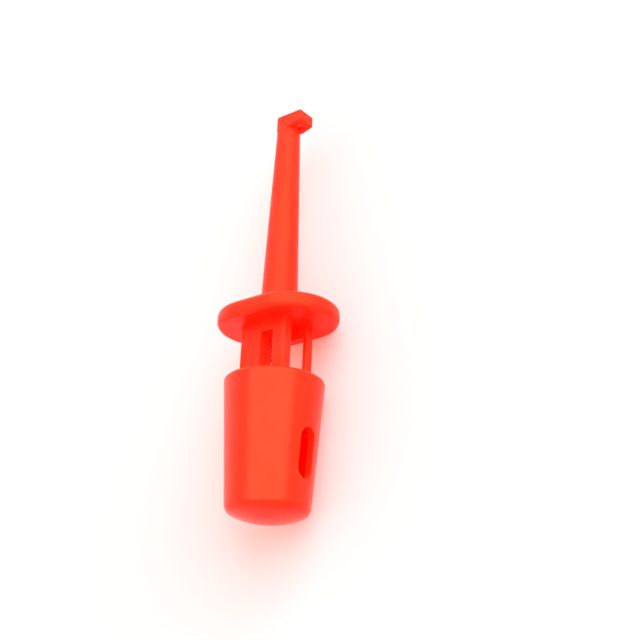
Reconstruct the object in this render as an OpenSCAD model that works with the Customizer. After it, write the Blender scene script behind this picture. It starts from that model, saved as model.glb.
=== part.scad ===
// Test hook clip: a moulded nose with a finger flange and two legs, a thumb cap that slides
// over the legs, and a sprung brass wire whose hooked end comes out of the tip when the cap is pressed.
// Each piece is drawn upright, with the cap end at z = 0, the tip upwards and the hook towards +X.
// lay_down() then rests the clip on the long side of its flange with the tip towards +Y. All sizes are in millimetres.

/* [Overall] */
// Length from the crown of the cap to the tip
overall_length = 57; // [54:0.5:62]
// Turn of the hook side above the horizontal as the clip lies, in degrees
lie_roll = 0; // [0:1:90]

/* [Nose] */
// Diameter of the tapered nose where it leaves the flange
nose_base_d = 4.85; // [4.4:0.05:6]
// Diameter of the nose at its tip
nose_tip_d = 3.05; // [2.9:0.05:3.3]

/* [Hook head] */
// Reach of the overhang from the axis to its outer face
head_reach = 3.1; // [2.7:0.05:3.8]
// Width of the overhang across the hook direction
head_width = 2.9; // [2.2:0.05:3]
// Height of the overhang at its outer face
head_height = 1.65; // [1.2:0.05:2.2]
// Extra height of the overhang where it leaves the nose
head_root_rise = 0.45; // [0.1:0.05:0.8]
// Reach of the head from the axis to its back
head_back = 1.1; // [0.8:0.05:1.2]
// Length over which the head's back corners run out into the nose
head_fade = 3; // [2:0.1:4]

/* [Finger flange] */
// Length of the flange along the hook direction
flange_length = 16.8; // [15:0.1:19]
// Width of the flange across the hook direction
flange_width = 12.5; // [11.6:0.1:13.6]
// Thickness of the flange
flange_thickness = 2.2; // [1.7:0.05:2.6]
// Radius of the rounded rim edges
flange_edge_r = 0.8; // [0.4:0.05:0.84]
// Radius of the fillet between the flange and the nose
root_fillet_r = 0.8; // [0.3:0.05:1.4]

/* [Legs] */
// Width of a leg along the hook direction
leg_width = 7.3; // [6.8:0.1:7.5]
// Thickness of a leg
leg_thickness = 1.5; // [1.3:0.05:1.6]
// Open space between the two legs
leg_gap = 3; // [2.4:0.05:3.1]
// Radius of the long outer edges of a leg
leg_corner_r = 0.4; // [0.2:0.05:0.8]
// Length of the legs inside the cap at rest
leg_overlap = 6.6; // [6:0.1:7]
// Width of the window through the upper leg, where the spring shows
window_width = 2; // [1.6:0.05:2.6]
// Width of the open window through the lower leg
open_window_width = 3.3; // [2.4:0.05:3.35]
// Reach of both windows from the axis away from the hook
window_back = 0.25; // [0.2:0.05:0.8]
// Distance from the flange to the window
window_setback = 1.5; // [1:0.1:2.5]
// Length of the solid end of a leg behind its window
leg_end_web = 1.8; // [1:0.1:3]

/* [Thumb cap] */
// Length of the cap from its crown to its rim
cap_length = 18.1; // [17:0.1:19.5]
// Outer diameter at the rim
cap_rim_d = 12.9; // [12.6:0.1:14]
// Outer diameter of the taper carried on to the crown
cap_end_d = 10.4; // [10.2:0.1:11.6]
// Wall thickness of the cap
cap_wall = 0.9; // [0.75:0.05:1]
// Thickness of the closed end at the axis
cap_floor = 1.5; // [1.3:0.05:1.8]
// Height of the domed crown
cap_crown = 0.7; // [0.4:0.05:1]
// Radius of the rounded edge round the crown
cap_edge_r = 1.2; // [0.8:0.05:1.6]
// Radius of the rounded outer edge of the rim
rim_edge_r = 0.45; // [0.2:0.05:0.6]
// Width of the lead slot in the cap's side
slot_width = 2.6; // [2:0.05:3.2]
// Length of the lead slot
slot_length = 6.4; // [4.5:0.1:7]
// Distance from the rim to the lead slot
slot_from_rim = 6.9; // [6.5:0.1:7.5]
// Diameter of the boss that holds the wire's tail
boss_d = 4.2; // [3.8:0.05:4.8]

/* [Stroke] */
// Open distance between the flange and the cap's rim at rest
cap_gap = 7.4; // [7:0.1:8.4]
// Stroke of the cap and the wire
travel = 5.5; // [4:0.1:5.8]

/* [Contact wire] */
// Diameter of the brass wire
wire_d = 0.55; // [0.45:0.01:0.6]
// Bend radius at the wire's centre
bend_r = 0.6; // [0.5:0.01:0.7]
// Distance from the axis to the middle of the hook's lip
lip_offset = 1.9; // [1.86:0.01:2]
// Length of the lip below the middle of the hook's arm
lip_length = 1.5; // [1.3:0.05:1.8]
// Width of the flattened solder tail
tail_width = 1.7; // [1.4:0.05:1.8]
// Length of the flattened solder tail
tail_length = 2.9; // [2.4:0.05:3.2]
// Thickness of the flattened solder tail
tail_thickness = 0.45; // [0.3:0.01:0.5]
// Diameter of the solder eye
eye_d = 1; // [0.7:0.05:1.1]
// Length of the wire's tail that is pressed into the boss
tail_grip = 3; // [2:0.1:3.4]

/* [Return spring] */
// Outer diameter of the coil
spring_od = 1.5; // [1.4:0.01:1.6]
// Diameter of the spring wire
spring_wire_d = 0.26; // [0.2:0.01:0.28]
// Distance between turns along the axis
spring_pitch = 0.75; // [0.6:0.01:0.9]
// Length of the spring behind the flange at rest
spring_show = 4.9; // [4.2:0.1:5.2]
// Depth of the spring pocket from the flange's rear face
pocket_depth = 5.6; // [5.2:0.1:7]
// Diameter of the collar behind the spring
collar_d = 1.4; // [1.2:0.05:1.5]
// Length of the collar
collar_length = 0.9; // [0.6:0.05:1.2]

/* [Clearances] */
// Radial clearance of the wire in the nose and in the head's slot
wire_clearance = 0.1; // [0.06:0.01:0.12]
// Radial clearance of the spring in its pocket
pocket_clearance = 0.15; // [0.1:0.01:0.2]
// Clearance where one piece rests against another
seat_clearance = 0.03; // [0.02:0.01:0.05]
// Radial clearance of a pressed or crimped joint
press_clearance = 0.01; // [0.005:0.005:0.02]
// Clearance left at the end of the stroke
stop_clearance = 0.15; // [0.1:0.05:0.3]

/* [Hidden] */

round_fn = 96;
bore_fn = 48;
// Sides of the spring wire and rings in one turn of the coil
coil_sides = 8;
coil_rings = 14;
// Spacing of the closed end turns in wire diameters
closed_pitch = 1.2;
// Reach of a cutting shape past the face that it opens
cut_past = 1;
// Sink of one shape into the next where both belong to one piece
weld = 0.05;
// Sink of a side into the round that it runs on to, so that the two cross
touch_sink = 0.01;

red_plastic = [1, 0.22, 0.12];
brass_wire = [0.86, 0.65, 0.3];
copper_spring = [0.6, 0.36, 0.22];

wire_r = wire_d / 2;
bore_r = wire_r + wire_clearance;
flange_run = flange_length - flange_width;
flange_rear_z = cap_length + cap_gap;
nose_start_z = flange_rear_z + flange_thickness;
leg_end_z = cap_length - leg_overlap;
leg_outer_y = leg_gap / 2 + leg_thickness;
boss_top_z = leg_end_z - travel - stop_clearance;
slot_top_z = cap_length - slot_from_rim;
pocket_r = spring_od / 2 + pocket_clearance;
pocket_floor_z = flange_rear_z + pocket_depth;
spring_rear_z = flange_rear_z - spring_show;
arm_z = overall_length - wire_r;
lip_end_z = arm_z - lip_length;
tail_start_z = boss_top_z + seat_clearance;

// Cap taper as a radius at a height, and its slope
cap_taper = (cap_rim_d - cap_end_d) / 2 / cap_length;
function cap_outer_r(z) = cap_end_d / 2 + cap_taper * z;

// Sphere of the crown, and the rounded edge that is tangent to the crown and to the taper
taper_length = sqrt(1 + cap_taper * cap_taper);
taper_normal = [1, -cap_taper] / taper_length;
crown_r = (pow(cap_end_d / 2, 2) + pow(cap_crown, 2)) / (2 * cap_crown);
edge_base = cap_end_d / 2 - cap_edge_r * taper_length;
edge_a = 1 + cap_taper * cap_taper;
edge_b = 2 * (edge_base * cap_taper - crown_r);
edge_reach = crown_r - cap_edge_r + touch_sink;
edge_c = edge_base * edge_base + crown_r * crown_r - edge_reach * edge_reach;
edge_z = (-edge_b - sqrt(edge_b * edge_b - 4 * edge_a * edge_c)) / (2 * edge_a);
edge_x = edge_base + cap_taper * edge_z;
side_touch = [edge_x, edge_z] + (cap_edge_r - touch_sink) * taper_normal;
crown_touch = [edge_x, edge_z - crown_r] * (crown_r / edge_reach) + [0, crown_r];

// Rounded rim: its circle touches the taper and the rim's plane
rim_z = cap_length - rim_edge_r;
rim_x = cap_outer_r(rim_z) - rim_edge_r * taper_length;
rim_touch = [rim_x, rim_z] + (rim_edge_r - touch_sink) * taper_normal;

// Height of the axis as the clip lies on its cap's rim and its flange
lie_height = max(rim_x + rim_edge_r, flange_width / 2 + flange_run / 2 * abs(sin(lie_roll)));

// Lays the upright clip down, tip towards +Y and hook side turned up by lie_roll
module lay_down() {
    translate([0, -overall_length / 2, lie_height])
        rotate([0, -lie_roll, 0])
            rotate([-90, 0, 0])
                children();
}

// Turns a profile drawn in X and Z into a plate of the given width across Y
module plate_xz(width) {
    translate([0, width / 2, 0])
        rotate([90, 0, 0])
            linear_extrude(width)
                children();
}

// Stadium along Y with its centre at the origin
module stadium(width, length) {
    run = length - width;
    square([width, run], center = true);
    for (side = [-1, 1])
        translate([0, side * run / 2])
            circle(d = width, $fn = bore_fn);
}

// Half section of the flange with its rounded rim
module flange_section() {
    flat_r = flange_width / 2 - flange_edge_r;
    square([flat_r, flange_thickness]);
    translate([0, flange_edge_r])
        square([flange_width / 2, flange_thickness - 2 * flange_edge_r]);
    for (height = [flange_edge_r, flange_thickness - flange_edge_r])
        translate([flat_r, height])
            circle(r = flange_edge_r, $fn = round_fn);
}

// Oval flange: two round ends and the straight run between them
module flange() {
    for (side = [-1, 1])
        translate([side * flange_run / 2, 0, 0])
            rotate_extrude($fn = round_fn)
                flange_section();
    translate([-flange_run / 2, 0, 0])
        rotate([90, 0, 90])
            linear_extrude(flange_run) {
                flange_section();
                mirror([1, 0])
                    flange_section();
            }
}

// Concave fillet ring between the flange and the nose
module root_fillet() {
    foot_r = nose_base_d / 2;
    rotate_extrude($fn = round_fn)
        difference() {
            square([foot_r + root_fillet_r, root_fillet_r]);
            translate([foot_r + root_fillet_r, root_fillet_r])
                circle(r = root_fillet_r, $fn = round_fn);
        }
}

// One leg's section across the clip, with its outer edges rounded
module leg_section() {
    half = leg_width / 2;
    flat_w = leg_width - 2 * leg_corner_r;
    translate([-flat_w / 2, leg_gap / 2])
        square([flat_w, leg_thickness]);
    translate([-half, leg_gap / 2])
        square([leg_width, leg_thickness - leg_corner_r]);
    for (side = [-1, 1])
        translate([side * flat_w / 2, leg_outer_y - leg_corner_r])
            circle(r = leg_corner_r, $fn = bore_fn);
}

// A leg with a window of the given width, from its free end into the flange
module leg(opening) {
    window_length = flange_rear_z - window_setback - leg_end_z - leg_end_web;
    difference() {
        translate([0, 0, leg_end_z])
            linear_extrude(flange_rear_z - leg_end_z + weld)
                leg_section();
        translate([-window_back, 0, leg_end_z + leg_end_web])
            cube([opening, leg_outer_y + cut_past, window_length]);
    }
}

// Head: its overhang slopes up from the nose to the outer face, and its back runs out into the nose
module head() {
    outer_z = overall_length - head_height;
    root_z = outer_z - head_root_rise;
    plate_xz(head_width)
        polygon([
            [0, root_z],
            [nose_tip_d / 2, root_z],
            [head_reach, outer_z],
            [head_reach, overall_length],
            [-head_back, overall_length],
            [-head_back, root_z],
            [-head_back / 2, root_z - head_fade],
            [0, root_z - head_fade]
        ]);
}

// Plastic left standing under the hook's arm, between the bore and the lip's slot
module arm_seat_profile() {
    left = bore_r;
    right = lip_offset - bore_r;
    top = overall_length - wire_d - seat_clearance;
    corner_r = bend_r - bore_r;
    low = lip_end_z - head_height;
    translate([left, low])
        square([right - left, top - corner_r - low]);
    translate([left + corner_r, low])
        square([right - left - 2 * corner_r, top - low]);
    for (x = [left + corner_r, right - corner_r])
        translate([x, top - corner_r])
            circle(r = corner_r, $fn = bore_fn);
}

// Groove in the tip that the hook's arm and lip leave forwards
module hook_groove() {
    low = arm_z - bend_r;
    plate_xz(2 * bore_r) {
        difference() {
            translate([0, low])
                square([lip_offset + bore_r, overall_length + cut_past - low]);
            arm_seat_profile();
        }
        translate([lip_offset - bore_r, lip_end_z - head_height])
            square([2 * bore_r, overall_length + cut_past - lip_end_z + head_height]);
    }
}

// Bore of the contact wire through the nose, with the spring pocket behind it
module wire_passage() {
    translate([0, 0, flange_rear_z - cut_past])
        cylinder(r = pocket_r, h = pocket_depth + cut_past, $fn = bore_fn);
    translate([0, 0, pocket_floor_z - cut_past])
        cylinder(r = bore_r, h = overall_length - pocket_floor_z + 2 * cut_past, $fn = bore_fn);
}

// Nose, hook head, flange and legs: one moulding
module nose_body() {
    color(red_plastic)
        lay_down()
            difference() {
                union() {
                    translate([0, 0, flange_rear_z])
                        flange();
                    translate([0, 0, nose_start_z - weld])
                        cylinder(
                            d1 = nose_base_d,
                            d2 = nose_tip_d,
                            h = overall_length - nose_start_z + weld,
                            $fn = round_fn
                        );
                    translate([0, 0, nose_start_z - weld])
                        root_fillet();
                    head();
                    leg(open_window_width);
                    mirror([0, 1, 0])
                        leg(window_width);
                }
                wire_passage();
                hook_groove();
            }
}

// Half section of the cap's outside: crown, rounded edge, taper and rounded rim
module cap_section() {
    polygon([
        [0, crown_touch[1]],
        crown_touch,
        [edge_x, edge_z],
        side_touch,
        rim_touch,
        [rim_x, rim_z],
        [rim_x, cap_length],
        [0, cap_length]
    ]);
    translate([edge_x, edge_z])
        circle(r = cap_edge_r, $fn = round_fn);
    translate([rim_x, rim_z])
        circle(r = rim_edge_r, $fn = bore_fn);
    intersection() {
        translate([0, crown_r])
            circle(r = crown_r, $fn = 4 * round_fn);
        square([crown_touch[0], crown_touch[1] + weld]);
    }
}

// Cap: a tapered cup with a domed end, a boss for the wire's tail and a slot for the lead
module thumb_cap() {
    inner_floor_r = cap_outer_r(cap_floor) - cap_wall;
    inner_rim_r = cap_outer_r(cap_length + cut_past) - cap_wall;
    color(red_plastic)
        lay_down()
            difference() {
                union() {
                    difference() {
                        rotate_extrude($fn = round_fn)
                            cap_section();
                        translate([0, 0, cap_floor])
                            cylinder(
                                r1 = inner_floor_r,
                                r2 = inner_rim_r,
                                h = cap_length + cut_past - cap_floor,
                                $fn = round_fn
                            );
                    }
                    translate([0, 0, cap_floor - weld])
                        cylinder(d = boss_d, h = boss_top_z - cap_floor + weld, $fn = round_fn);
                }
                translate([0, 0, boss_top_z - tail_grip])
                    cylinder(r = wire_r + press_clearance, h = tail_grip + cut_past, $fn = bore_fn);
                // The slot's cutter starts clear of the boss
                translate([boss_d / 2 + cut_past, 0, slot_top_z - slot_length / 2])
                    rotate([90, 0, 90])
                        linear_extrude(cap_rim_d)
                            stadium(slot_width, slot_length);
            }
}

// Quarter bend of the wire in the X and Z plane, starting at the given angle
module quarter_bend(start) {
    rotate([90, 0, 0])
        rotate([0, 0, start])
            rotate_extrude(angle = 90, $fn = round_fn)
                translate([bend_r, 0])
                    circle(r = wire_r, $fn = bore_fn);
}

// Flattened stretch of the wire with the solder eye, facing the lead slot
module solder_tail() {
    translate([0, 0, tail_start_z + tail_length / 2])
        rotate([90, 0, 90])
            linear_extrude(tail_thickness, center = true)
                difference() {
                    stadium(tail_width, tail_length);
                    circle(d = eye_d, $fn = bore_fn);
                }
}

// Contact wire: pressed tail, solder eye, long shank and the hook at the tip
module hook_wire() {
    tail_end_z = boss_top_z - tail_grip + seat_clearance;
    tail_top_z = tail_start_z + tail_length - (tail_width - eye_d) / 4;
    bend_z = arm_z - bend_r;
    color(brass_wire)
        lay_down() {
            translate([0, 0, tail_end_z])
                cylinder(r = wire_r, h = tail_start_z + (tail_width - eye_d) / 4 - tail_end_z, $fn = bore_fn);
            solder_tail();
            translate([0, 0, tail_top_z])
                cylinder(r = wire_r, h = bend_z - tail_top_z, $fn = bore_fn);
            translate([bend_r, 0, bend_z])
                quarter_bend(90);
            translate([bend_r, 0, arm_z])
                rotate([0, 90, 0])
                    cylinder(r = wire_r, h = lip_offset - 2 * bend_r, $fn = bore_fn);
            translate([lip_offset - bend_r, 0, bend_z])
                quarter_bend(0);
            translate([lip_offset, 0, lip_end_z])
                cylinder(r = wire_r, h = bend_z - lip_end_z, $fn = bore_fn);
        }
}

// Collar crimped on the wire behind the spring
module spring_collar() {
    color(brass_wire)
        lay_down()
            translate([0, 0, spring_rear_z - collar_length - seat_clearance])
                difference() {
                    cylinder(d = collar_d, h = collar_length, $fn = round_fn);
                    translate([0, 0, -cut_past])
                        cylinder(
                            r = wire_r + press_clearance,
                            h = collar_length + 2 * cut_past,
                            $fn = bore_fn
                        );
                }
}

// Coil: the height of its centre line after a number of turns, with one closed turn at each end
coil_r = (spring_od - spring_wire_d) / 2;
coil_length = spring_show + pocket_depth - seat_clearance;
closed_rise = closed_pitch * spring_wire_d;
open_turns = (coil_length - spring_wire_d - 2 * closed_rise) / spring_pitch;
coil_turns = open_turns + 2;
function coil_z(turn) =
    spring_wire_d / 2
    + closed_rise * (min(turn, 1) + max(turn - 1 - open_turns, 0))
    + spring_pitch * min(max(turn - 1, 0), open_turns);

// Points of one ring of the spring wire
function coil_ring(turn) = [
    for (side = [0 : coil_sides - 1])
        let (
            around = 360 * turn,
            part = 360 * side / coil_sides,
            reach = coil_r + spring_wire_d / 2 * cos(part)
        )
        [reach * cos(around), reach * sin(around), coil_z(turn) + spring_wire_d / 2 * sin(part)]
];

// Return spring: a round wire swept along a helix
module return_spring() {
    last = round(coil_turns * coil_rings);
    points = [for (ring = [0 : last]) each coil_ring(coil_turns * ring / last)];
    sides = [
        for (ring = [0 : last - 1], side = [0 : coil_sides - 1])
            let (
                here = ring * coil_sides,
                next = (side + 1) % coil_sides
            )
            [here + side, here + next, here + coil_sides + next, here + coil_sides + side]
    ];
    start_cap = [for (side = [coil_sides - 1 : -1 : 0]) side];
    end_cap = [for (side = [0 : coil_sides - 1]) last * coil_sides + side];
    color(copper_spring)
        lay_down()
            translate([0, 0, spring_rear_z])
                polyhedron(points, concat(sides, [start_cap, end_cap]));
}

nose_body();
thumb_cap();
hook_wire();
spring_collar();
return_spring();
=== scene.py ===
"""Test hook clip: modelled pieces, finishes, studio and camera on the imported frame."""

from __future__ import annotations

import logging
import math
from dataclasses import dataclass
from enum import Enum
from typing import Callable, Iterable, Sequence

import bpy
from mathutils import Matrix, Vector

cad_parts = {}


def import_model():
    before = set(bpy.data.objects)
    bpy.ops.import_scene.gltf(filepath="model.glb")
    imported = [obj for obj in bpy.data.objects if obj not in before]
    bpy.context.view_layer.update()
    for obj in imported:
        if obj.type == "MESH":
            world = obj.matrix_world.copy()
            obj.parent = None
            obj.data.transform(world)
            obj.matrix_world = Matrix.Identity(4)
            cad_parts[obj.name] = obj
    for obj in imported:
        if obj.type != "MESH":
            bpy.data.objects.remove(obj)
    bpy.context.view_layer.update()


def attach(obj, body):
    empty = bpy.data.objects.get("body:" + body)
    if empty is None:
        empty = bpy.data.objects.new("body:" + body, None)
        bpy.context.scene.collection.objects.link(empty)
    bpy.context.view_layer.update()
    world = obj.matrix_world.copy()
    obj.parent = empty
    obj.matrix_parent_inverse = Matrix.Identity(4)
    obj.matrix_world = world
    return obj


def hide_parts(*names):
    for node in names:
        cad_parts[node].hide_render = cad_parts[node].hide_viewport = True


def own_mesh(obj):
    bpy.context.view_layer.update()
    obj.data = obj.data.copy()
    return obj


LOG = logging.getLogger("test_hook_clip")

# Millimetres to metres: pieces are modelled upright in millimetres and then laid down
MM = 0.001
# Distance under which two corners are the same corner, in millimetres
WELD = 1e-4
# Steps of a full turn on a turned form
TURN_STEPS = 160
# Angle between faces that counts as an edge
EDGE_ANGLE = math.radians(32)
# Angle between faces under which they count as one flat face
FLAT_ANGLE = math.radians(0.2)
# Margin round the place of an edge when edges are picked by place, in millimetres
MARGIN = 10 * WELD
# Point outside the clip, at a different distance from each corner, that corners are put in order from
ORDER_POINT = (31.7, -23.3, -17.9)
# Stretch of a noise that holds most of its values
NOISE_SPAN = (0.3, 0.7)
# Layers of the shared surface effect: name, usual scale and number of finer layers
SURFACE_LAYERS = (("Wave", 300.0, 1.0), ("Grain", 6000.0, 3.0), ("Rub", 900.0, 3.0))

Profile = list[tuple[float, float]]


class Body(Enum):
    """Rigid bodies of the clip that pieces ride on."""

    MOULDING = "body"
    PLUNGER = "plunger"


class Node(Enum):
    """Construction solids that the modelled pieces stand for."""

    NOSE = "nose_body"
    CAP = "thumb_cap"
    WIRE = "hook_wire"
    COLLAR = "spring_collar"
    SPRING = "return_spring"


class Solid(Enum):
    """Ways in which one solid is worked with another."""

    ADD = "UNION"
    CUT = "DIFFERENCE"


def arc(
    centre: tuple[float, float],
    radius: float,
    start: float,
    end: float,
    steps: int,
) -> Profile:
    """Points of a circular stretch of a profile.

    Args:
        centre: Centre as radius and height.
        radius: Radius of the stretch.
        start: Angle of the first point in degrees.
        end: Angle of the last point in degrees.
        steps: Number of chords.

    Returns:
        Points from start to end, both included.
    """
    angles = [math.radians(start + (end - start) * step / steps) for step in range(steps + 1)]
    return [(centre[0] + radius * math.cos(a), centre[1] + radius * math.sin(a)) for a in angles]


@dataclass(frozen=True)
class ClipSizes:
    """Sizes of the clip in millimetres, upright, with the cap's crown at height 0."""

    overall_length: float = 57.0
    nose_base_d: float = 4.85
    nose_tip_d: float = 3.05
    head_reach: float = 3.1
    head_width: float = 2.9
    head_height: float = 1.65
    head_root_rise: float = 0.45
    head_back: float = 1.1
    head_fade: float = 3.0
    flange_length: float = 16.8
    flange_width: float = 12.5
    flange_thickness: float = 2.2
    flange_edge_r: float = 0.8
    root_fillet_r: float = 0.8
    leg_width: float = 7.3
    leg_thickness: float = 1.5
    leg_gap: float = 3.0
    leg_corner_r: float = 0.4
    leg_overlap: float = 6.6
    window_width: float = 2.0
    open_window_width: float = 3.3
    window_back: float = 0.25
    window_setback: float = 1.5
    leg_end_web: float = 1.8
    cap_length: float = 18.1
    cap_rim_d: float = 12.9
    cap_end_d: float = 10.4
    cap_wall: float = 0.9
    cap_floor: float = 1.5
    rim_edge_r: float = 0.45
    slot_width: float = 2.6
    slot_length: float = 6.4
    slot_from_rim: float = 6.9
    boss_d: float = 4.2
    cap_gap: float = 7.4
    travel: float = 5.5
    wire_d: float = 0.55
    bend_r: float = 0.6
    lip_offset: float = 1.9
    lip_length: float = 1.5
    tail_width: float = 1.7
    tail_length: float = 2.9
    tail_thickness: float = 0.45
    eye_d: float = 1.0
    tail_grip: float = 3.0
    spring_od: float = 1.5
    spring_wire_d: float = 0.26
    spring_pitch: float = 0.75
    spring_show: float = 4.9
    pocket_depth: float = 5.6
    collar_d: float = 1.4
    collar_length: float = 0.9
    wire_clearance: float = 0.1
    pocket_clearance: float = 0.15
    seat_clearance: float = 0.03
    press_clearance: float = 0.01
    stop_clearance: float = 0.15

    @property
    def wire_r(self) -> float:
        """Radius of the contact wire."""
        return self.wire_d / 2

    @property
    def bore_r(self) -> float:
        """Radius of the wire's bore in the nose."""
        return self.wire_r + self.wire_clearance

    @property
    def flange_run(self) -> float:
        """Length of the flange's straight sides."""
        return self.flange_length - self.flange_width

    @property
    def flange_rear(self) -> float:
        """Height of the flange's rear face."""
        return self.cap_length + self.cap_gap

    @property
    def flange_front(self) -> float:
        """Height of the flange's front face."""
        return self.flange_rear + self.flange_thickness

    @property
    def leg_end(self) -> float:
        """Height of the free ends of the legs."""
        return self.cap_length - self.leg_overlap

    @property
    def leg_outer(self) -> float:
        """Distance from the axis to the outer face of a leg."""
        return self.leg_gap / 2 + self.leg_thickness

    @property
    def window_low(self) -> float:
        """Height of the rear edge of the legs' windows."""
        return self.leg_end + self.leg_end_web

    @property
    def window_high(self) -> float:
        """Height of the front edge of the legs' windows."""
        return self.flange_rear - self.window_setback

    @property
    def boss_top(self) -> float:
        """Height of the cap's inner boss."""
        return self.leg_end - self.travel - self.stop_clearance

    @property
    def pocket_r(self) -> float:
        """Radius of the spring's pocket."""
        return self.spring_od / 2 + self.pocket_clearance

    @property
    def pocket_floor(self) -> float:
        """Height of the spring pocket's floor."""
        return self.flange_rear + self.pocket_depth

    @property
    def spring_rear(self) -> float:
        """Height of the spring's rear end at rest."""
        return self.flange_rear - self.spring_show

    @property
    def arm(self) -> float:
        """Height of the middle of the hook's arm."""
        return self.overall_length - self.wire_r

    @property
    def lip_end(self) -> float:
        """Height of the lip's free end."""
        return self.arm - self.lip_length

    @property
    def cap_taper(self) -> float:
        """Growth of the cap's radius with height."""
        return (self.cap_rim_d - self.cap_end_d) / 2 / self.cap_length

    def cap_outer_r(self, height: float) -> float:
        """Outer radius of the cap's taper at a height."""
        return self.cap_end_d / 2 + self.cap_taper * height

    @property
    def rim_centre(self) -> tuple[float, float]:
        """Centre of the rim's rounded edge as radius and height."""
        height = self.cap_length - self.rim_edge_r
        return self.cap_outer_r(height) - self.rim_edge_r * math.hypot(1.0, self.cap_taper), height

    @property
    def lie_height(self) -> float:
        """Height of the axis as the clip lies on its cap's rim and its flange."""
        return max(self.rim_centre[0] + self.rim_edge_r, self.flange_width / 2)

    def lay_down(self) -> Matrix:
        """Matrix from the upright clip in millimetres to the lying clip in metres."""
        lift = Vector((0.0, -self.overall_length / 2, self.lie_height)) * MM
        tip_forward = Matrix.Rotation(math.radians(-90), 4, "X")
        return Matrix.Translation(lift) @ tip_forward @ Matrix.Scale(MM, 4)


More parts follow.
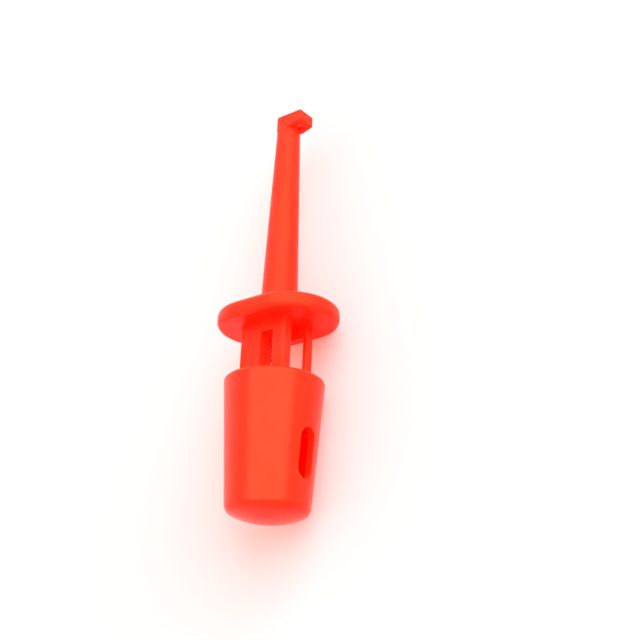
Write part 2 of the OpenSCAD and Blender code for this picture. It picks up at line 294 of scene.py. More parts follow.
class Workpiece:
    """A mesh that is shaped step by step in edit mode."""

    def __init__(self, obj: bpy.types.Object, name: str) -> None:
        """Takes on an object that was just added.

        Args:
            obj: The object.
            name: Name of the piece.
        """
        self.obj = obj
        self.obj.name = name
        self.obj.data.name = name

    @classmethod
    def corner(cls, name: str) -> Workpiece:
        """Starts a piece as a single corner at the origin.

        Args:
            name: Name of the piece.

        Returns:
            The piece.
        """
        bpy.ops.object.select_all(action="DESELECT")
        bpy.ops.mesh.primitive_plane_add(size=1.0, location=(0.0, 0.0, 0.0))
        piece = cls(bpy.context.object, name)
        piece.edit()
        bpy.ops.mesh.select_all(action="SELECT")
        bpy.ops.mesh.merge(type="CENTER")
        piece.done()
        return piece

    @classmethod
    def disc(cls, name: str, sides: int, radius: float) -> Workpiece:
        """Starts a piece as a flat disc round the clip's axis.

        Args:
            name: Name of the piece.
            sides: Number of its corners.
            radius: Distance of its corners from the axis.

        Returns:
            The piece.
        """
        bpy.ops.object.select_all(action="DESELECT")
        bpy.ops.mesh.primitive_circle_add(vertices=sides, radius=radius, location=(0.0, 0.0, 0.0))
        piece = cls(bpy.context.object, name)
        piece.edit()
        bpy.ops.mesh.select_all(action="SELECT")
        bpy.ops.mesh.edge_face_add()
        piece.done()
        return piece

    def activate(self) -> None:
        """Makes this the only selected and active object."""
        bpy.ops.object.select_all(action="DESELECT")
        self.obj.select_set(True)
        bpy.context.view_layer.objects.active = self.obj

    def edit(self) -> None:
        """Enters edit mode on this piece."""
        self.activate()
        bpy.ops.object.mode_set(mode="EDIT")
        bpy.ops.mesh.select_mode(type="VERT")

    def done(self) -> None:
        """Leaves edit mode."""
        bpy.ops.object.mode_set(mode="OBJECT")

    def trace(self, points: Iterable[Vector]) -> Workpiece:
        """Draws a chain of edges from the single corner that the piece starts with.

        Args:
            points: Places of the chain's corners in order.

        Returns:
            The piece.
        """
        self.edit()
        bpy.ops.mesh.select_all(action="SELECT")
        place = Vector((0.0, 0.0, 0.0))
        for number, point in enumerate(points):
            step = point - place
            if number == 0:
                bpy.ops.transform.translate(value=step)
            else:
                bpy.ops.mesh.extrude_region_move(TRANSFORM_OT_translate={"value": step})
            place = point
        self.done()
        return self

    def weld(self) -> None:
        """Merges corners that coincide and points all faces outwards."""
        self.edit()
        bpy.ops.mesh.select_all(action="SELECT")
        bpy.ops.mesh.remove_doubles(threshold=WELD)
        bpy.ops.mesh.normals_make_consistent(inside=False)
        self.done()

    @classmethod
    def turned(cls, name: str, profile: Profile, steps: int = TURN_STEPS) -> Workpiece:
        """Turns a half section round the clip's axis.

        Args:
            name: Name of the piece.
            profile: Points of the half section as radius and height.
            steps: Steps of the full turn.

        Returns:
            The turned piece.
        """
        piece = cls.corner(name).trace(Vector((radius, 0.0, height)) for radius, height in profile)
        piece.edit()
        bpy.ops.mesh.select_all(action="SELECT")
        bpy.ops.mesh.spin(steps=steps, angle=math.tau, center=(0, 0, 0), axis=(0, 0, 1))
        piece.done()
        piece.weld()
        return piece

    @classmethod
    def plate(cls, name: str, outline: Sequence[Vector], depth: Vector) -> Workpiece:
        """Fills a flat outline and draws it out into a plate.

        Args:
            name: Name of the piece.
            outline: Corners of the outline in order.
            depth: Direction and length of the draw.

        Returns:
            The plate.
        """
        piece = cls.corner(name).trace([*outline, outline[0]])
        piece.edit()
        bpy.ops.mesh.select_all(action="SELECT")
        bpy.ops.mesh.remove_doubles(threshold=WELD)
        bpy.ops.mesh.edge_face_add()
        bpy.ops.mesh.extrude_region_move(TRANSFORM_OT_translate={"value": depth})
        piece.done()
        piece.weld()
        return piece

    def mirror(self) -> Workpiece:
        """Flips the piece to the other side of the plane of the hook.

        Returns:
            The piece.
        """
        self.edit()
        bpy.ops.mesh.select_all(action="SELECT")
        across = (False, True, False)
        bpy.ops.transform.mirror(constraint_axis=across, center_override=(0.0, 0.0, 0.0))
        bpy.ops.mesh.normals_make_consistent(inside=False)
        self.done()
        return self

    def work(self, tool: Workpiece, way: Solid) -> None:
        """Adds or cuts another solid, which is used up.

        Args:
            tool: The other solid.
            way: Whether it is added or cut away.
        """
        self.activate()
        step = self.obj.modifiers.new("solid", "BOOLEAN")
        step.operation = way.value
        step.object = tool.obj
        step.solver = "EXACT"
        bpy.ops.object.modifier_apply(modifier=step.name)
        bpy.data.objects.remove(tool.obj)

    def soften(self, inside: Callable[[Vector], bool], radius: float, segments: int = 3) -> None:
        """Rounds the sharp edges that lie in one region.

        Args:
            inside: Test of the place of an edge's ends.
            radius: Width of the rounding.
            segments: Steps across the rounding.
        """
        self.edit()
        bpy.ops.mesh.select_mode(type="EDGE")
        bpy.ops.mesh.select_all(action="DESELECT")
        bpy.ops.mesh.edges_select_sharp(sharpness=EDGE_ANGLE)
        self.done()
        mesh = self.obj.data
        kept = 0
        for edge in mesh.edges:
            ends = [mesh.vertices[index].co for index in edge.vertices]
            edge.select = edge.select and all(inside(end) for end in ends)
            kept += edge.select
        for vertex in mesh.vertices:
            vertex.select = False
        for face in mesh.polygons:
            face.select = False
        bpy.ops.object.mode_set(mode="EDIT")
        bpy.ops.mesh.select_mode(type="EDGE")
        if kept:
            bpy.ops.mesh.bevel(
                offset=radius,
                offset_type="OFFSET",
                segments=segments,
                affect="EDGES",
                clamp_overlap=True,
                loop_slide=False,
            )
        self.done()

    def tidy(self) -> None:
        """Merges flat neighbours that a cut has split, in an order that is the same in each run."""
        bpy.context.scene.cursor.location = ORDER_POINT
        self.edit()
        bpy.ops.mesh.select_all(action="SELECT")
        bpy.ops.mesh.sort_elements(type="CURSOR_DISTANCE", elements={"VERT", "EDGE", "FACE"})
        bpy.ops.mesh.remove_doubles(threshold=WELD)
        bpy.ops.mesh.dissolve_limited(angle_limit=FLAT_ANGLE)
        self.done()

    def finish(self, place: Matrix) -> bpy.types.Object:
        """Lays the piece down in its place and smooths its shading.

        Args:
            place: Matrix from the upright piece to its place.

        Returns:
            The finished object, at the origin and unturned.
        """
        self.activate()
        self.obj.matrix_world = place
        bpy.ops.object.transform_apply(location=True, rotation=True, scale=True)
        bpy.ops.object.shade_smooth_by_angle(angle=EDGE_ANGLE)
        step = self.obj.modifiers.new("normals", "WEIGHTED_NORMAL")
        step.keep_sharp = True
        bpy.ops.object.modifier_apply(modifier=step.name)
        return self.obj


class NodeBuilder:
    """Short ways to place and link shader nodes in one tree."""

    def __init__(self, tree: bpy.types.NodeTree) -> None:
        """Keeps the tree.

        Args:
            tree: Tree that the nodes go in.
        """
        self.tree = tree

    def add(self, kind: str, **settings: object) -> bpy.types.Node:
        """Places a node.

        Args:
            kind: Blender's name of the node type.
            **settings: Attributes of the node.

        Returns:
            The node.
        """
        node = self.tree.nodes.new(kind)
        for name, value in settings.items():
            setattr(node, name, value)
        return node

    def link(self, source: bpy.types.NodeSocket, target: bpy.types.NodeSocket) -> None:
        """Links two sockets."""
        self.tree.links.new(source, target)

    def feed(self, value: float | bpy.types.NodeSocket, socket: bpy.types.NodeSocket) -> None:
        """Sets a socket to a number, or links it to the socket that gives its value."""
        if isinstance(value, bpy.types.NodeSocket):
            self.link(value, socket)
        else:
            socket.default_value = value

    def noise(
        self,
        vector: bpy.types.NodeSocket,
        scale: float | bpy.types.NodeSocket,
        detail: float,
    ) -> bpy.types.NodeSocket:
        """Places a noise texture.

        Args:
            vector: Coordinates.
            scale: A number or a socket that gives it.
            detail: Number of finer layers.

        Returns:
            The noise's value.
        """
        node = self.add("ShaderNodeTexNoise")
        node.inputs["Detail"].default_value = detail
        self.link(vector, node.inputs["Vector"])
        self.feed(scale, node.inputs["Scale"])
        return node.outputs["Fac"]

    def spread(self, value: bpy.types.NodeSocket, low: float, high: float) -> bpy.types.NodeSocket:
        """Maps the middle of a noise to a range.

        Args:
            value: Noise value.
            low: Result at the noise's usual low.
            high: Result at the noise's usual high.

        Returns:
            The mapped value.
        """
        node = self.add("ShaderNodeMapRange")
        node.inputs["From Min"].default_value = NOISE_SPAN[0]
        node.inputs["From Max"].default_value = NOISE_SPAN[1]
        node.inputs["To Min"].default_value = low
        node.inputs["To Max"].default_value = high
        self.link(value, node.inputs["Value"])
        return node.outputs["Result"]

    def maths(
        self,
        operation: str,
        first: bpy.types.NodeSocket,
        second: float | bpy.types.NodeSocket,
    ) -> bpy.types.NodeSocket:
        """Places a math node on two values.

        Args:
            operation: Blender's name of the operation.
            first: A socket that gives the first value.
            second: A number or a socket that gives it.

        Returns:
            The result.
        """
        node = self.add("ShaderNodeMath", operation=operation)
        self.feed(first, node.inputs[0])
        self.feed(second, node.inputs[1])
        return node.outputs["Value"]

    def tone(
        self,
        first: tuple[float, float, float],
        second: tuple[float, float, float],
        share: bpy.types.NodeSocket,
    ) -> bpy.types.NodeSocket:
        """Blends two colours.

        Args:
            first: Colour at share 0.
            second: Colour at share 1.
            share: Share of the second colour.

        Returns:
            The blended colour.
        """
        node = self.add("ShaderNodeMix", data_type="RGBA")
        node.inputs["A"].default_value = (*first, 1.0)
        node.inputs["B"].default_value = (*second, 1.0)
        self.link(share, node.inputs["Factor"])
        return node.outputs["Result"]

    def relief(self, height: bpy.types.NodeSocket) -> bpy.types.NodeSocket:
        """Makes a surface normal from a height in millimetres.

        Args:
            height: Height of the surface.

        Returns:
            The normal.
        """
        node = self.add("ShaderNodeBump")
        node.inputs["Strength"].default_value = 1.0
        node.inputs["Distance"].default_value = MM
        self.link(height, node.inputs["Height"])
        return node.outputs["Normal"]


def surface_group() -> bpy.types.NodeTree:
    """Shared surface effect: slow waves, fine grain and faint rubbed spots.

    Returns:
        The node group, built once.
    """
    name = "handled_surface"
    if name in bpy.data.node_groups:
        return bpy.data.node_groups[name]
    tree = bpy.data.node_groups.new(name, "ShaderNodeTree")
    kind = "NodeSocketFloat"
    for layer, scale, _ in SURFACE_LAYERS:
        entry = tree.interface.new_socket(f"{layer} Scale", in_out="INPUT", socket_type=kind)
        entry.default_value = scale
        tree.interface.new_socket(layer, in_out="OUTPUT", socket_type=kind)
    build = NodeBuilder(tree)
    start = build.add("NodeGroupInput")
    end = build.add("NodeGroupOutput")
    place = build.add("ShaderNodeTexCoord").outputs["Object"]
    for layer, _, detail in SURFACE_LAYERS:
        build.link(build.noise(place, start.outputs[f"{layer} Scale"], detail), end.inputs[layer])
    return tree


def new_material(name: str) -> tuple[bpy.types.Material, bpy.types.Node]:
    """Starts a material.

    Args:
        name: Name of the material.

    Returns:
        The material and its shader node.
    """
    material = bpy.data.materials.new(name)
    material.use_nodes = True
    return material, material.node_tree.nodes["Principled BSDF"]


@dataclass(frozen=True)
class MouldedPlastic:
    """Glossy moulded plastic with slow waves, a fine grain and faintly rubbed spots."""

    name: str
    colour: tuple[float, float, float]
    deep_colour: tuple[float, float, float]
    roughness: tuple[float, float]
    wave_depth: float
    grain_depth: float
    wave_scale: float = 260.0
    grain_scale: float = 5200.0
    rub_scale: float = 850.0
    specular: float = 0.25
    sheen: tuple[float, float, float] = (1.0, 0.72, 0.33)
    subsurface: float = 1.0
    subsurface_reach: float = 0.005
    subsurface_spread: tuple[float, float, float] = (1.0, 0.2, 0.1)

    def material(self) -> bpy.types.Material:
        """Builds the material."""
        material, shader = new_material(self.name)
        build = NodeBuilder(material.node_tree)
        surface = build.add("ShaderNodeGroup", node_tree=surface_group())
        surface.inputs["Wave Scale"].default_value = self.wave_scale
        surface.inputs["Grain Scale"].default_value = self.grain_scale
        surface.inputs["Rub Scale"].default_value = self.rub_scale
        depth = build.spread(surface.outputs["Wave"], 0.0, 1.0)
        dullness = build.spread(surface.outputs["Rub"], *self.roughness)
        build.link(build.tone(self.colour, self.deep_colour, depth), shader.inputs["Base Color"])
        build.link(dullness, shader.inputs["Roughness"])
        wave = build.maths("MULTIPLY", surface.outputs["Wave"], self.wave_depth)
        grain = build.maths("MULTIPLY", surface.outputs["Grain"], self.grain_depth)
        build.link(build.relief(build.maths("ADD", wave, grain)), shader.inputs["Normal"])
        shader.inputs["Specular IOR Level"].default_value = self.specular
        shader.inputs["Specular Tint"].default_value = (*self.sheen, 1.0)
        shader.inputs["Subsurface Weight"].default_value = self.subsurface
        shader.inputs["Subsurface Radius"].default_value = self.subsurface_spread
        shader.inputs["Subsurface Scale"].default_value = self.subsurface_reach
        return material


@dataclass(frozen=True)
class DrawnMetal:
    """Drawn wire or turned metal with fine lines along the clip's axis and dull spots."""

    name: str
    colour: tuple[float, float, float]
    dull_colour: tuple[float, float, float]
    roughness: tuple[float, float]
    line_depth: float
    edge_tint: tuple[float, float, float] = (1.0, 1.0, 1.0)
    line_stretch: float = 0.03
    line_scale: float = 9000.0
    line_detail: float = 2.0
    spot_scale: float = 1500.0

    def material(self) -> bpy.types.Material:
        """Builds the material."""
        material, shader = new_material(self.name)
        build = NodeBuilder(material.node_tree)
        surface = build.add("ShaderNodeGroup", node_tree=surface_group())
        surface.inputs["Rub Scale"].default_value = self.spot_scale
        spots = build.spread(surface.outputs["Rub"], 0.0, 1.0)
        dullness = build.spread(surface.outputs["Rub"], *self.roughness)
        build.link(build.tone(self.colour, self.dull_colour, spots), shader.inputs["Base Color"])
        build.link(dullness, shader.inputs["Roughness"])
        place = build.add("ShaderNodeTexCoord").outputs["Object"]
        along = build.add("ShaderNodeMapping")
        along.inputs["Scale"].default_value = (1.0, self.line_stretch, 1.0)
        build.link(place, along.inputs["Vector"])
        lines = build.noise(along.outputs["Vector"], self.line_scale, self.line_detail)
        height = build.maths("MULTIPLY", lines, self.line_depth)
        build.link(build.relief(height), shader.inputs["Normal"])
        shader.inputs["Metallic"].default_value = 1.0
        shader.inputs["Specular Tint"].default_value = (*self.edge_tint, 1.0)
        return material


def dress(
    obj: bpy.types.Object,
    finish: MouldedPlastic | DrawnMetal,
    node: Node,
    body: Body,
) -> None:
    """Gives a piece its finish and its place in the frame.

    Args:
        obj: The finished piece.
        finish: Its finish.
        node: The construction solid that it stands for.
        body: The body that it rides on.
    """
    obj.data.materials.clear()
    obj.data.materials.append(finish.material())
    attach(obj, body.value)
    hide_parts(node.value)
    LOG.info("%s: %d faces, rides on %s", obj.name, len(obj.data.polygons), body.value)


@dataclass
class NoseMoulding:
    """Nose with its hook head, finger flange and two windowed legs: one moulding."""

    sizes: ClipSizes
    finish: MouldedPlastic
    edge_r: float = 0.14
    head_edge_r: float = 0.35
    window_edge_r: float = 0.1
    leg_inner_r: float = 0.15
    sink: float = 0.3
    fillet_sink: float = 0.05
    past: float = 1.0
    flange_steps: int = 48
    flange_edge_steps: int = 10
    fillet_steps: int = 10
    tip_steps: int = 4
    head_steps: int = 5
    bore_steps: int = 64
    leg_steps: int = 8
    leg_inner_steps: int = 4
    window_steps: int = 2
    seat_steps: int = 6

    def flange(self) -> Workpiece:
        """Oval flange with a rounded rim, which the moulding is built up from."""
        s = self.sizes
        half = s.flange_width / 2
        run = s.flange_run / 2
        section = [
            *arc((run, 0.0), half, -90, 90, self.flange_steps),
            *arc((-run, 0.0), half, 90, 270, self.flange_steps),
        ]
        outline = [Vector((x, y, s.flange_rear)) for x, y in section]
        plate = Workpiece.plate("nose_moulding", outline, Vector((0.0, 0.0, s.flange_thickness)))
        plate.soften(lambda p: True, s.flange_edge_r, self.flange_edge_steps)
        return plate

    def nose(self) -> Workpiece:
        """Tapered nose with the fillet at its foot."""
        s = self.sizes
        foot_r = s.nose_base_d / 2
        tip_r = s.nose_tip_d / 2
        fillet = s.root_fillet_r
        edge = self.head_edge_r
        low = s.flange_front - self.sink
        foot = (foot_r + fillet, s.flange_front + fillet - self.fillet_sink)
        profile = [
            (0.0, low),
            (foot[0], low),
            *arc(foot, fillet, 270, 180, self.fillet_steps),
            *arc((tip_r - edge, s.overall_length - edge), edge, 0, 90, self.tip_steps),
            (0.0, s.overall_length),
        ]
        return Workpiece.turned("nose", profile)

    def passage(self) -> Workpiece:
        """Cutting solid of the wire's bore and the spring's pocket."""
        s = self.sizes
        low = s.flange_rear - self.past
        high = s.overall_length + self.past
        profile = [
            (0.0, low),
            (s.pocket_r, low),
            (s.pocket_r, s.pocket_floor),
            (s.bore_r, s.pocket_floor),
            (s.bore_r, high),
            (0.0, high),
        ]
        return Workpiece.turned("passage", profile, self.bore_steps)

    def head(self) -> Workpiece:
        """Head: its overhang slopes up to its outer face, and its back runs out into the nose."""
        s = self.sizes
        top = s.overall_length
        outer = top - s.head_height
        root = outer - s.head_root_rise
        side = -s.head_width / 2
        corners = [
            (0.0, root),
            (s.nose_tip_d / 2, root),
            (s.head_reach, outer),
            (s.head_reach, top),
            (-s.head_back, top),
            (-s.head_back, root),
            (-s.head_back / 2, root - s.head_fade),
            (0.0, root - s.head_fade),
        ]
        outline = [Vector((x, side, z)) for x, z in corners]
        head = Workpiece.plate("head", outline, Vector((0.0, s.head_width, 0.0)))
        head.soften(lambda p: True, self.head_edge_r, self.head_steps)
        return head

    def leg(self, name: str, opening: float) -> Workpiece:
        """A leg with rounded long edges and a window.

        Args:
            name: Name of the leg.
            opening: Width of its window.

        Returns:
            The leg on the lower side.
        """
        s = self.sizes
        half = s.leg_width / 2
        low = s.leg_gap / 2
        r = s.leg_corner_r
        q = self.leg_inner_r
        section = [
            *arc((half - q, low + q), q, -90, 0, self.leg_inner_steps),
            *arc((half - r, s.leg_outer - r), r, 0, 90, self.leg_steps),
            *arc((r - half, s.leg_outer - r), r, 90, 180, self.leg_steps),
            *arc((q - half, low + q), q, 180, 270, self.leg_inner_steps),
        ]
        outline = [Vector((x, y, s.leg_end)) for x, y in section]
        draw = Vector((0.0, 0.0, s.flange_rear + self.sink - s.leg_end))
        leg = Workpiece.plate(name, outline, draw)
        leg.soften(lambda p: p.z < s.leg_end + WELD, self.edge_r)
        left = -s.window_back
        right = opening - s.window_back
        rear = [Vector((x, 0.0, s.window_low)) for x in (left, right)]
        front = [Vector((x, 0.0, s.window_high)) for x in (right, left)]
        window = Workpiece.plate("window", [*rear, *front], Vector((0.0, s.leg_outer + self.past, 0.0)))
        leg.work(window, Solid.CUT)
        leg.tidy()

        def by_window(place: Vector) -> bool:
            """Whether a place is at the edge of the window or inside it."""
            across = left - MARGIN < place.x < right + MARGIN
            return across and s.window_low - MARGIN < place.z < s.window_high + MARGIN

        leg.soften(by_window, self.window_edge_r, self.window_steps)
        return leg

    def groove(self) -> list[Workpiece]:
        """Cuts in the tip that the hook leaves forwards, round a seat with rounded corners."""
        s = self.sizes
        left = s.bore_r
        right = s.lip_offset - s.bore_r
        reach = s.lip_offset + s.bore_r
        seat = s.overall_length - s.wire_d - s.seat_clearance
        corner = s.bend_r - s.bore_r
        bend_low = s.arm - s.bend_r
        lip_low = s.lip_end - s.head_height
        high = s.overall_length + self.past
        arm = [
            (0.0, bend_low),
            (left, bend_low),
            *arc((left + corner, seat - corner), corner, 180, 90, self.seat_steps),
            *arc((right - corner, seat - corner), corner, 90, 0, self.seat_steps),
            (right, bend_low),
            (reach, bend_low),
            (reach, high),
            (0.0, high),
        ]
        lip = [(right, lip_low), (reach, lip_low), (reach, high), (right, high)]
        width = Vector((0.0, 2 * s.bore_r, 0.0))
        cuts = []
        for name, section in (("arm_cut", arm), ("lip_cut", lip)):
            outline = [Vector((x, -s.bore_r, z)) for x, z in section]
            cuts.append(Workpiece.plate(name, outline, width))
        return cuts

    def build(self) -> bpy.types.Object:
        """Models the moulding and lays it down."""
        s = self.sizes
        piece = self.flange()
        piece.work(self.nose(), Solid.ADD)
        piece.work(self.head(), Solid.ADD)
        piece.work(self.leg("lower_leg", s.open_window_width), Solid.ADD)
        piece.work(self.leg("upper_leg", s.window_width).mirror(), Solid.ADD)
        piece.work(self.passage(), Solid.CUT)
        for cut in self.groove():
            piece.work(cut, Solid.CUT)
        piece.tidy()
        return piece.finish(s.lay_down())

    def place(self) -> None:
        """Builds and dresses the moulding."""
        dress(self.build(), self.finish, Node.NOSE, Body.MOULDING)


@dataclass
class ThumbCap:
    """Tapered cup with a domed end, an inner boss for the wire and a slot for the lead."""

    sizes: ClipSizes
    finish: MouldedPlastic
    slot_edge_r: float = 0.16
    inner_edge: float = 0.2
    floor_fillet: float = 0.5
    end_edge_r: float = 1.3
    end_crown: float = 1.25
    past: float = 1.0
    end_steps: int = 14
    rim_steps: int = 8
    inner_steps: int = 5
    fillet_steps: int = 6
    slot_steps: int = 20

    def outside(self) -> Profile:
        """Outer half section from the crown to the rim."""
        s = self.sizes
        slope = s.cap_taper
        long_side = math.hypot(1.0, slope)
        crown_r = ((s.cap_end_d / 2) ** 2 + self.end_crown**2) / (2 * self.end_crown)
        base = s.cap_end_d / 2 - self.end_edge_r * long_side
        # The rounded edge's centre is as far from the crown's centre as the two radii differ
        a = 1 + slope * slope
        b = 2 * (base * slope - crown_r)
        c = base * base + crown_r * crown_r - (crown_r - self.end_edge_r) ** 2
        edge_z = (-b - math.sqrt(b * b - 4 * a * c)) / (2 * a)
        edge_x = base + slope * edge_z
        lean = math.degrees(math.atan(slope))
        crown_angle = math.degrees(math.atan2(edge_z - crown_r, edge_x))
        return [
            *arc((0.0, crown_r), crown_r, -90, crown_angle, self.end_steps),
            *arc((edge_x, edge_z), self.end_edge_r, crown_angle, -lean, self.end_steps)[1:],
            *arc(s.rim_centre, s.rim_edge_r, -lean, 90, self.rim_steps),
        ]

    def profile(self) -> Profile:
        """Whole half section: outside, rim, inner wall, floor and boss."""
        s = self.sizes
        rim_r = s.cap_outer_r(s.cap_length) - s.cap_wall
        floor_r = s.cap_outer_r(s.cap_floor) - s.cap_wall
        boss_r = s.boss_d / 2
        hole_r = s.wire_r + s.press_clearance
        fillet = self.floor_fillet
        edge = self.inner_edge
        return [
            *self.outside(),
            *arc((rim_r + edge, s.cap_length - edge), edge, 90, 180, self.inner_steps),
            *arc((floor_r - fillet, s.cap_floor + fillet), fillet, 0, -90, self.fillet_steps),
            *arc((boss_r + fillet, s.cap_floor + fillet), fillet, 270, 180, self.fillet_steps),
            *arc((boss_r - edge, s.boss_top - edge), edge, 0, 90, self.inner_steps),
            (hole_r, s.boss_top),
            (hole_r, s.boss_top - s.tail_grip),
            (0.0, s.boss_top - s.tail_grip),
        ]

    def slot(self) -> Workpiece:
        """Cutting solid of the lead slot, with round ends."""
        s = self.sizes
        r = s.slot_width / 2
        top = s.cap_length - s.slot_from_rim - r
        low = top - s.slot_length + s.slot_width
        section = [
            *arc((0.0, top), r, 0, 180, self.slot_steps),
            *arc((0.0, low), r, 180, 360, self.slot_steps),
        ]
        outline = [Vector((s.boss_d / 2 + self.past, y, z)) for y, z in section]
        return Workpiece.plate("slot", outline, Vector((s.cap_rim_d, 0.0, 0.0)))

    def build(self) -> bpy.types.Object:
        """Models the cap and lays it down."""
        s = self.sizes
        piece = Workpiece.turned("thumb_cap_shell", self.profile())
        piece.work(self.slot(), Solid.CUT)
        high = s.cap_length - s.slot_from_rim
        low = high - s.slot_length

        def by_slot(place: Vector) -> bool:
            """Whether a place is at the edge of the slot."""
            outside = place.x > s.boss_d / 2 + self.past
            across = abs(place.y) < s.slot_width / 2 + MARGIN
            return outside and across and low - MARGIN < place.z < high + MARGIN

        piece.soften(by_slot, self.slot_edge_r)
        return piece.finish(s.lay_down())

    def place(self) -> None:
        """Builds and dresses the cap."""
        dress(self.build(), self.finish, Node.CAP, Body.PLUNGER)


@dataclass
class ContactWire:
    """Brass wire with a pressed tail, a coined solder eye and a hooked end."""

    sizes: ClipSizes
    finish: DrawnMetal
    sides: int = 24
    bend_steps: int = 12
    end_rounding: float = 0.2
    end_share: float = 0.5
    coin_steps: int = 20
    coin_rate: float = 2.0
    eye_steps: int = 32
    eye_edge_r: float = 0.05
    eye_edge_steps: int = 2

    def draw(self, step: Vector) -> None:
        """Draws the selected ring on by one step."""
        bpy.ops.mesh.extrude_region_move(TRANSFORM_OT_translate={"value": step})

    def build(self) -> bpy.types.Object:
        """Models the wire from its tail to its lip and lays it down."""
        s = self.sizes
        tail_low = s.boss_top - s.tail_grip + s.seat_clearance
        coin_low = s.boss_top + s.seat_clearance
        coin_high = coin_low + s.tail_length
        bend_low = s.arm - s.bend_r
        flat = s.tail_thickness / s.wire_d
        broad = s.tail_width / s.wire_d
        wire = Workpiece.disc("contact_wire", self.sides, s.wire_r)
        wire.edit()
        bpy.ops.mesh.select_all(action="SELECT")
        bpy.ops.transform.translate(value=(0.0, 0.0, tail_low))
        up = Vector((0.0, 0.0, 1.0))
        self.draw(up * (coin_low - tail_low))
        self.coin(coin_low, coin_high, flat, broad)
        self.draw(up * (bend_low - coin_high))
        quarter = math.pi / 2
        bend = {"steps": self.bend_steps, "angle": quarter, "axis": (0, -1, 0)}
        bpy.ops.mesh.spin(center=(s.bend_r, 0.0, bend_low), **bend)
        self.draw(Vector((s.lip_offset - 2 * s.bend_r, 0.0, 0.0)))
        bpy.ops.mesh.spin(center=(s.lip_offset - s.bend_r, 0.0, bend_low), **bend)
        self.draw(up * (s.lip_end + self.end_rounding - bend_low))
        self.draw(up * -self.end_rounding)
        bpy.ops.transform.resize(value=(self.end_share, self.end_share, 1.0))
        wire.done()
        wire.weld()
        wire.work(self.eye(), Solid.CUT)
        wire.soften(lambda p: coin_low < p.z < coin_high, self.eye_edge_r, self.eye_edge_steps)
        wire.tidy()
        return wire.finish(s.lay_down())

    def coin(self, low: float, high: float, flat: float, broad: float) -> None:
        """Flattens the wire into the solder tail.

        Args:
            low: Height where the tail starts.
            high: Height where it ends.
            flat: Share of the wire's thickness that is left.
            broad: Growth of the wire's width.
        """
        half = (high - low) / 2
        width = 1.0
        thick = 1.0
        for step in range(1, self.coin_steps + 1):
            around = math.pi * step / self.coin_steps
            before = math.pi * (step - 1) / self.coin_steps
            self.draw(Vector((0.0, 0.0, half * (math.cos(before) - math.cos(around)))))
            bulge = math.sin(around)
            next_width = max(1.0, broad * bulge)
            next_thick = 1.0 + (flat - 1.0) * min(1.0, self.coin_rate * bulge)
            bpy.ops.transform.resize(value=(next_thick / thick, next_width / width, 1.0))
            width = next_width
            thick = next_thick

    def eye(self) -> Workpiece:
        """Cutting solid of the solder eye."""
        s = self.sizes
        middle = s.boss_top + s.seat_clearance + s.tail_length / 2
        ring = arc((0.0, middle), s.eye_d / 2, 0, 360, self.eye_steps)[:-1]
        outline = [Vector((-s.wire_d, y, z)) for y, z in ring]
        return Workpiece.plate("eye", outline, Vector((2 * s.wire_d, 0.0, 0.0)))

    def place(self) -> None:
        """Builds and dresses the wire."""
        dress(self.build(), self.finish, Node.WIRE, Body.PLUNGER)


@dataclass
class SpringCollar:
    """Turned collar crimped on the wire behind the spring."""

    sizes: ClipSizes
    finish: DrawnMetal
    chamfer: float = 0.12
    edge_steps: int = 4
    turn_steps: int = 48

    def build(self) -> bpy.types.Object:
        """Models the collar and lays it down."""
        s = self.sizes
        high = s.spring_rear - s.seat_clearance
        low = high - s.collar_length
        hole = s.wire_r + s.press_clearance
        outer = s.collar_d / 2
        c = self.chamfer
        profile = [
            (hole, low + c / 2),
            (hole + c / 2, low),
            *arc((outer - c, low + c), c, -90, 0, self.edge_steps),
            *arc((outer - c, high - c), c, 0, 90, self.edge_steps),
            (hole + c / 2, high),
            (hole, high - c / 2),
            (hole, low + c / 2),
        ]
        ring = Workpiece.turned("spring_collar_ring", profile, self.turn_steps)
        return ring.finish(s.lay_down())

    def place(self) -> None:
        """Builds and dresses the collar."""
        dress(self.build(), self.finish, Node.COLLAR, Body.PLUNGER)


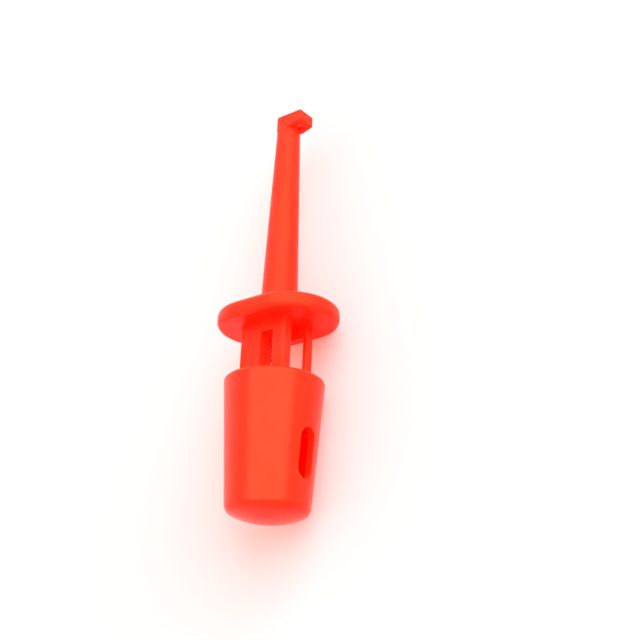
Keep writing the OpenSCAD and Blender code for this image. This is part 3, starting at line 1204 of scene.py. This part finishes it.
@dataclass
class ReturnSpring:
    """Coil spring with one closed turn at each end, built at its rest length, though the real one
    shortens as the cap is pressed.
    """

    sizes: ClipSizes
    finish: DrawnMetal
    sides: int = 12
    steps_per_turn: int = 28
    closed_pitch: float = 1.2
    joint: str = "plunger_slide"

    @property
    def length(self) -> float:
        """Length of the spring at rest."""
        s = self.sizes
        return s.spring_show + s.pocket_depth - s.seat_clearance

    def rise(self, turn: float, open_turns: float) -> float:
        """Height of the coil's middle line after a number of turns.

        Args:
            turn: Turns from the rear end.
            open_turns: Number of open turns.

        Returns:
            Height above the rear end.
        """
        s = self.sizes
        closed = self.closed_pitch * s.spring_wire_d
        end_part = min(turn, 1.0) + max(turn - 1.0 - open_turns, 0.0)
        open_part = min(max(turn - 1.0, 0.0), open_turns)
        return s.spring_wire_d / 2 + closed * end_part + s.spring_pitch * open_part

    def build(self) -> bpy.types.Object:
        """Models the coil and lays it down."""
        s = self.sizes
        wire_r = s.spring_wire_d / 2
        coil_r = s.spring_od / 2 - wire_r
        closed = self.closed_pitch * s.spring_wire_d
        open_turns = (self.length - s.spring_wire_d - 2 * closed) / s.spring_pitch
        turns = open_turns + 2
        steps = round(turns * self.steps_per_turn)
        ring = arc((coil_r, 0.0), wire_r, 0, 360, self.sides)
        coil = Workpiece.corner("return_spring_coil").trace(Vector((x, 0.0, z)) for x, z in ring)
        coil.weld()
        screw = coil.obj.modifiers.new("coil", "SCREW")
        screw.angle = math.tau * turns
        screw.steps = steps
        screw.render_steps = steps
        screw.screw_offset = 0.0
        screw.use_merge_vertices = False
        coil.activate()
        bpy.ops.object.modifier_apply(modifier=screw.name)
        for number, vertex in enumerate(coil.obj.data.vertices):
            turn = turns * (number // self.sides) / steps
            vertex.co.z += s.spring_rear + self.rise(turn, open_turns)
        coil.edit()
        bpy.ops.mesh.select_all(action="DESELECT")
        bpy.ops.mesh.select_non_manifold()
        bpy.ops.mesh.fill_holes(sides=0)
        bpy.ops.mesh.select_all(action="SELECT")
        bpy.ops.mesh.normals_make_consistent(inside=False)
        coil.done()
        return coil.finish(s.lay_down())

    def place(self) -> None:
        """Builds and dresses the spring, fixed at its pocket's floor."""
        s = self.sizes
        obj = self.build()
        dress(obj, self.finish, Node.SPRING, Body.MOULDING)
        anchor = s.lay_down() @ Vector((0.0, 0.0, s.pocket_floor))
        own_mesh(obj)


@dataclass
class PhotoCamera:
    """Camera at the photograph's viewing angle."""

    place: tuple[float, float, float] = (0.088336, -0.058981, 0.109924)
    azimuth: float = -55.71
    elevation: float = 46.391
    roll: float = -61.354
    lens: float = 64.1
    sensor: float = 36.0
    nearest: float = 0.005

    def aim(self) -> Matrix:
        """Turn of the camera."""
        pan = Matrix.Rotation(math.radians(-self.azimuth), 4, "Z")
        tip = Matrix.Rotation(math.radians(90.0 - self.elevation), 4, "X")
        lean = Matrix.Rotation(math.radians(self.roll), 4, "Z")
        return pan @ tip @ lean

    def build(self) -> None:
        """Adds the camera and makes it the scene's own."""
        data = bpy.data.cameras.new("photo_camera")
        data.lens = self.lens
        data.sensor_width = self.sensor
        data.clip_start = self.nearest
        camera = bpy.data.objects.new("photo_camera", data)
        bpy.context.scene.collection.objects.link(camera)
        camera.matrix_world = Matrix.Translation(Vector(self.place)) @ self.aim()
        bpy.context.scene.camera = camera


@dataclass(frozen=True)
class Softbox:
    """A rectangular studio light."""

    name: str
    place: tuple[float, float, float]
    size: tuple[float, float]
    power: float
    in_shading: bool = True
    in_reflections: bool = True

    def build(self) -> None:
        """Adds the light, facing the origin."""
        data = bpy.data.lights.new(self.name, "AREA")
        data.shape = "RECTANGLE"
        data.size = self.size[0]
        data.size_y = self.size[1]
        data.energy = self.power
        light = bpy.data.objects.new(self.name, data)
        bpy.context.scene.collection.objects.link(light)
        light.visible_diffuse = self.in_shading
        light.visible_glossy = self.in_reflections
        place = Vector(self.place)
        turn = (-place).to_track_quat("-Z", "Y").to_matrix().to_4x4()
        light.matrix_world = Matrix.Translation(place) @ turn


@dataclass
class Studio:
    """White table with its own reddish painted glow, soft lights and a bright surround."""

    boxes: tuple[Softbox, ...]
    floor_size: float = 2.0
    floor_colour: tuple[float, float, float] = (0.34, 0.34, 0.38)
    # Painted glow: the floor glows by itself, evenly; its red excess paints the pink of light bounced
    # off the red clip into the floor's shadows.
    floor_glow: tuple[float, float, float] = (0.6, 0.16, 0.1)
    floor_roughness: float = 0.8
    floor_specular: float = 0.2
    surround: tuple[float, float, float] = (1.0, 0.95, 0.86)
    surround_strength: float = 1.6
    bounces: int = 24

    def floor(self) -> None:
        """Adds the floor that the clip lies on."""
        bpy.ops.object.select_all(action="DESELECT")
        bpy.ops.mesh.primitive_plane_add(size=self.floor_size, location=(0.0, 0.0, 0.0))
        floor = bpy.context.object
        floor.name = "studio_floor"
        material, shader = new_material("studio_floor")
        shader.inputs["Base Color"].default_value = (*self.floor_colour, 1.0)
        # The floor's own painted glow, whose red excess paints bounced red light into its shadows.
        shader.inputs["Emission Color"].default_value = (*self.floor_glow, 1.0)
        shader.inputs["Emission Strength"].default_value = 1.0
        shader.inputs["Roughness"].default_value = self.floor_roughness
        shader.inputs["Specular IOR Level"].default_value = self.floor_specular
        floor.data.materials.append(material)

    def lights(self) -> None:
        """Adds the surround and the soft lights."""
        world = bpy.data.worlds.new("studio")
        bpy.context.scene.world = world
        world.use_nodes = True
        background = world.node_tree.nodes["Background"]
        background.inputs["Color"].default_value = (*self.surround, 1.0)
        background.inputs["Strength"].default_value = self.surround_strength
        for box in self.boxes:
            box.build()
        cycles = bpy.context.scene.cycles
        cycles.max_bounces = self.bounces
        cycles.diffuse_bounces = self.bounces
        view = bpy.context.scene.view_settings
        view.view_transform = "Standard"
        view.look = "None"

    def build(self) -> None:
        """Sets the stage."""
        self.floor()
        self.lights()


RED = MouldedPlastic(
    name="red_moulded_plastic",
    colour=(0.95, 0.013, 0.004),
    deep_colour=(0.93, 0.011, 0.003),
    roughness=(0.32, 0.42),
    specular=0.2,
    wave_depth=0.02,
    grain_depth=0.0002,
)
CAP_RED = MouldedPlastic(
    name="red_cap_plastic",
    colour=(0.95, 0.013, 0.004),
    deep_colour=(0.93, 0.011, 0.003),
    roughness=(0.2, 0.26),
    wave_depth=0.02,
    grain_depth=0.0002,
)
BRASS = DrawnMetal(
    name="drawn_brass",
    colour=(0.68, 0.43, 0.17),
    dull_colour=(0.44, 0.26, 0.1),
    roughness=(0.2, 0.42),
    line_depth=0.004,
)
COLLAR_BRASS = DrawnMetal(
    name="turned_brass",
    colour=(0.74, 0.48, 0.2),
    dull_colour=(0.5, 0.3, 0.12),
    roughness=(0.28, 0.5),
    line_depth=0.004,
)
# Painted shade: the coil's colour, dull spots and edge tint are drawn far darker than its own warm
# metal so that it reads dim inside the leg window; only the warm hue is the wire's own.
PAINTED_SHADE_SPRING_STEEL = DrawnMetal(
    name="spring_wire",
    colour=(0.26, 0.1, 0.045),
    dull_colour=(0.09, 0.03, 0.012),
    roughness=(0.3, 0.45),
    line_depth=0.003,
    edge_tint=(0.3, 0.12, 0.06),
)
OVERHEAD_BOX = Softbox(
    name="overhead_box",
    place=(4.8, 3.36, 3.36),
    size=(8.0, 8.0),
    power=1344.0,
    in_reflections=False,
)
BAND_BOX = Softbox(
    name="band_box",
    place=(0.324, 0.09, 0.498),
    size=(1.0, 1.4),
    power=14.0,
    in_shading=False,
)


def main() -> None:
    """Builds the pieces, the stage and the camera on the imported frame."""
    logging.basicConfig(level=logging.INFO, format="%(name)s: %(message)s")
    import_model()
    sizes = ClipSizes()
    NoseMoulding(sizes, RED).place()
    ThumbCap(sizes, CAP_RED).place()
    ContactWire(sizes, BRASS).place()
    SpringCollar(sizes, COLLAR_BRASS).place()
    ReturnSpring(sizes, PAINTED_SHADE_SPRING_STEEL).place()
    Studio((OVERHEAD_BOX, BAND_BOX)).build()
    PhotoCamera().build()


if __name__ == "__main__":
    main()
